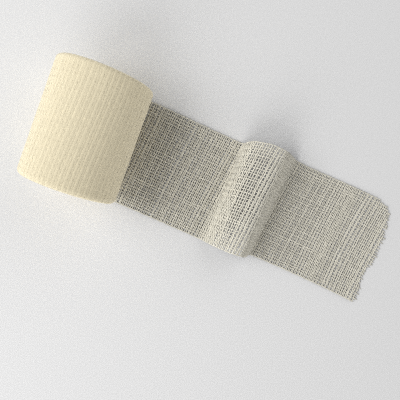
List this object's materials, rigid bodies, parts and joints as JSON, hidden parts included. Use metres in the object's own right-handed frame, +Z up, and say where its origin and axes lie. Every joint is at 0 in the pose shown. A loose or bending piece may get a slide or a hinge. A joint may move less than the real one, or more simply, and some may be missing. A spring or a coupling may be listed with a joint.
{
  "type": "cohesive bandage roll",
  "caption": "Roll of elastic cohesive gauze bandage lying on its side, with its loose end drawn out flat, one standing pleat and a torn edge.",
  "frame": {"origin": "middle of the flat spot under the roll, on the surface the object rests on", "axes": "+X along the loose end, away from the roll; +Y across the bandage from its near selvage to its far one; +Z up"},
  "size_m": [0.2579, 0.0836, 0.0627],
  "materials": {
    "wound_cloth": "cream crimped cotton and rayon gauze, wound many turns deep, matt",
    "single_cloth": "off-white open crimped gauze in one layer, matt, with small holes between its yarns"
  },
  "bodies": {
    "root": {"roll": "wound_cloth", "loose_end": "single_cloth"}
  },
  "joints": []
}
